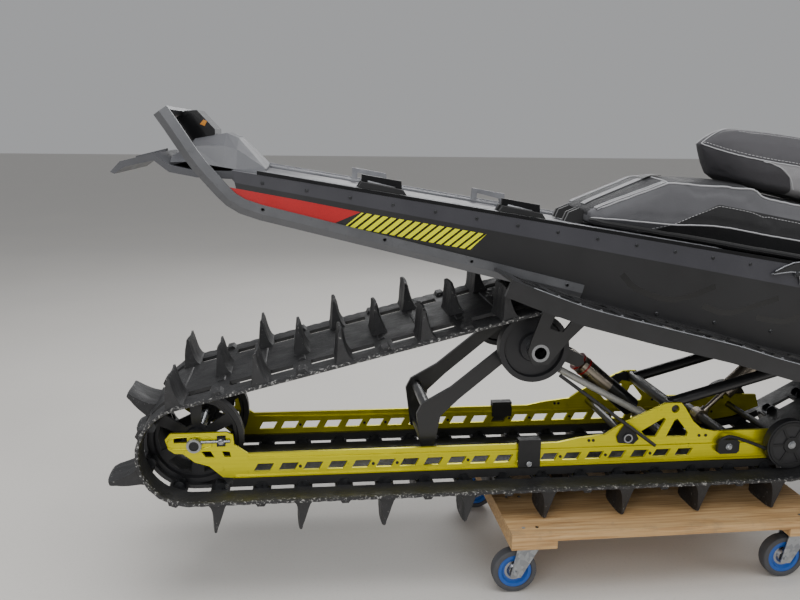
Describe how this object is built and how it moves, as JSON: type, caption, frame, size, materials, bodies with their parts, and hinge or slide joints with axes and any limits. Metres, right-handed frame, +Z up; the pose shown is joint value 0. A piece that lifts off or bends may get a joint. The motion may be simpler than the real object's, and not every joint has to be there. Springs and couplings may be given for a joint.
{
  "type": "snowmobile on a wheeled dolly",
  "caption": "Mountain snowmobile with a long lugged track on a swivel-caster wooden dolly and its steered skis on the floor.",
  "frame": {"origin": "middle of the footprint, on the floor", "axes": "+X forward towards the skis, +Y to the rider's left, +Z up"},
  "size_m": [3.0731, 1.07, 1.2624],
  "materials": {
    "track_rubber": "moulded, scuffed",
    "rail_yellow": "anodised yellow, satin",
    "slide_plastic": "worn graphite",
    "wheel_black": "moulded",
    "bright_steel": "turned",
    "arm_black": "powder coat, satin",
    "shock_bronze": "hard anodised",
    "tunnel_black": "satin dark coat",
    "strip_alloy": "satin anodised",
    "tail_grey": "moulded grain",
    "lamp_black": "moulded",
    "seat_cover": "coated cloth, two greys, stitched",
    "bag_shell": "moulded covers, satin",
    "tank_black": "moulded",
    "engine_alloy": "cast",
    "panel_black": "moulded, satin",
    "lens_clear": "clear",
    "screen_smoke": "smoked",
    "ski_plastic": "moulded",
    "runner_steel": "worn",
    "loop_black": "moulded",
    "control_black": "ribbed grips",
    "deck_wood": "sheathing board, raw",
    "galvanised": "galvanised",
    "caster_tyre": "grey tyre, blue rim"
  },
  "bodies": {
    "root": {"track": "track_rubber", "rail_left": "rail_yellow", "rail_right": "rail_yellow", "slide_shoes": "slide_plastic", "rear_wheels": "wheel_black", "rail_wheels": "wheel_black", "carrier_wheels": "wheel_black", "rear_axle": "bright_steel", "carrier_shaft": "bright_steel", "rail_cross_shafts": "bright_steel", "drive_shaft": "bright_steel", "carrier_brackets": "arm_black", "rear_arm": "arm_black", "front_arm": "arm_black", "front_arms": "arm_black", "nose_bumper": "arm_black", "bulkhead": "arm_black", "rear_shock": "shock_bronze", "centre_shock": "shock_bronze", "front_shocks": "shock_bronze", "tunnel": "tunnel_black", "running_boards": "tunnel_black", "bumper_rail": "strip_alloy", "cargo_mounts": "strip_alloy", "tail_housing": "tail_grey", "snow_flap": "tail_grey", "dash": "tail_grey", "tail_lamp": "lamp_black", "seat": "seat_cover", "rear_bag": "bag_shell", "fuel_tank": "tank_black", "engine_block": "engine_alloy", "hood": "panel_black", "side_panels": "panel_black", "belly_pan": "panel_black", "headlamps": "lens_clear", "windshield": "screen_smoke", "dolly_deck": "deck_wood", "dolly_battens": "deck_wood", "caster_plates": "galvanised"},
    "handlebar": {"handlebar": "arm_black", "bar_controls": "control_black"},
    "spindle_left": {"spindle_left": "arm_black"},
    "tie_rod_left": {"tie_rod_left": "strip_alloy"},
    "ski_left": {"ski_left": "ski_plastic", "ski_runner_left": "runner_steel", "ski_loop_left": "loop_black"},
    "spindle_right": {"spindle_right": "arm_black"},
    "tie_rod_right": {"tie_rod_right": "strip_alloy"},
    "ski_right": {"ski_right": "ski_plastic", "ski_runner_right": "runner_steel", "ski_loop_right": "loop_black"},
    "fork_rear_left": {"caster_fork_rear_left": "galvanised"},
    "wheel_rear_left": {"caster_wheel_rear_left": "caster_tyre"},
    "fork_rear_right": {"caster_fork_rear_right": "galvanised"},
    "wheel_rear_right": {"caster_wheel_rear_right": "caster_tyre"},
    "fork_front_left": {"caster_fork_front_left": "galvanised"},
    "wheel_front_left": {"caster_wheel_front_left": "caster_tyre"},
    "fork_front_right": {"caster_fork_front_right": "galvanised"},
    "wheel_front_right": {"caster_wheel_front_right": "caster_tyre"}
  },
  "joints": [
    {"name": "steering", "type": "hinge", "parent": "root", "child": "handlebar", "pos_m": [0.9123, 0, 0.545], "axis": [-0.6654, 0, 0.7465], "range_deg": [-35, 35]},
    {"name": "spindle_left_turn", "type": "hinge", "parent": "root", "child": "spindle_left", "pos_m": [0.9373, 0.4, 0.205], "axis": [-0.2244, 0, 0.9745], "range_deg": [-35, 35]},
    {"name": "tie_rod_left_turn", "type": "hinge", "parent": "spindle_left", "child": "tie_rod_left", "pos_m": [0.8273, 0.385, 0.3], "axis": [-0.2244, 0, 0.9745], "range_deg": [-35, 35]},
    {"name": "ski_left_pitch", "type": "hinge", "parent": "spindle_left", "child": "ski_left", "pos_m": [0.9673, 0.457, 0.085], "axis": [0, 1, 0], "range_deg": [-15, 15]},
    {"name": "spindle_right_turn", "type": "hinge", "parent": "root", "child": "spindle_right", "pos_m": [0.9373, -0.4, 0.205], "axis": [-0.2244, 0, 0.9745], "range_deg": [-35, 35]},
    {"name": "tie_rod_right_turn", "type": "hinge", "parent": "spindle_right", "child": "tie_rod_right", "pos_m": [0.8273, -0.385, 0.3], "axis": [-0.2244, 0, 0.9745], "range_deg": [-35, 35]},
    {"name": "ski_right_pitch", "type": "hinge", "parent": "spindle_right", "child": "ski_right", "pos_m": [0.9673, -0.457, 0.085], "axis": [0, 1, 0], "range_deg": [-15, 15]},
    {"name": "fork_rear_left_swivel", "type": "hinge", "parent": "root", "child": "fork_rear_left", "pos_m": [-0.6547, 0.205, 0.11], "axis": [0, 0, 1], "continuous": true},
    {"name": "wheel_rear_left_spin", "type": "hinge", "parent": "fork_rear_left", "child": "wheel_rear_left", "pos_m": [-0.6837, 0.205, 0.05], "axis": [0, 1, 0], "continuous": true},
    {"name": "fork_rear_right_swivel", "type": "hinge", "parent": "root", "child": "fork_rear_right", "pos_m": [-0.6547, -0.205, 0.11], "axis": [0, 0, 1], "continuous": true},
    {"name": "wheel_rear_right_spin", "type": "hinge", "parent": "fork_rear_right", "child": "wheel_rear_right", "pos_m": [-0.6837, -0.205, 0.05], "axis": [0, 1, 0], "continuous": true},
    {"name": "fork_front_left_swivel", "type": "hinge", "parent": "root", "child": "fork_front_left", "pos_m": [-0.0227, 0.205, 0.11], "axis": [0, 0, 1], "continuous": true},
    {"name": "wheel_front_left_spin", "type": "hinge", "parent": "fork_front_left", "child": "wheel_front_left", "pos_m": [-0.0517, 0.205, 0.05], "axis": [0, 1, 0], "continuous": true},
    {"name": "fork_front_right_swivel", "type": "hinge", "parent": "root", "child": "fork_front_right", "pos_m": [-0.0227, -0.205, 0.11], "axis": [0, 0, 1], "continuous": true},
    {"name": "wheel_front_right_spin", "type": "hinge", "parent": "fork_front_right", "child": "wheel_front_right", "pos_m": [-0.0517, -0.205, 0.05], "axis": [0, 1, 0], "continuous": true}
  ],
  "couplings": [
    {"joint": "spindle_left_turn", "follows": "steering", "ratio": 1},
    {"joint": "tie_rod_left_turn", "follows": "steering", "ratio": -1},
    {"joint": "spindle_right_turn", "follows": "steering", "ratio": 1},
    {"joint": "tie_rod_right_turn", "follows": "steering", "ratio": -1}
  ]
}
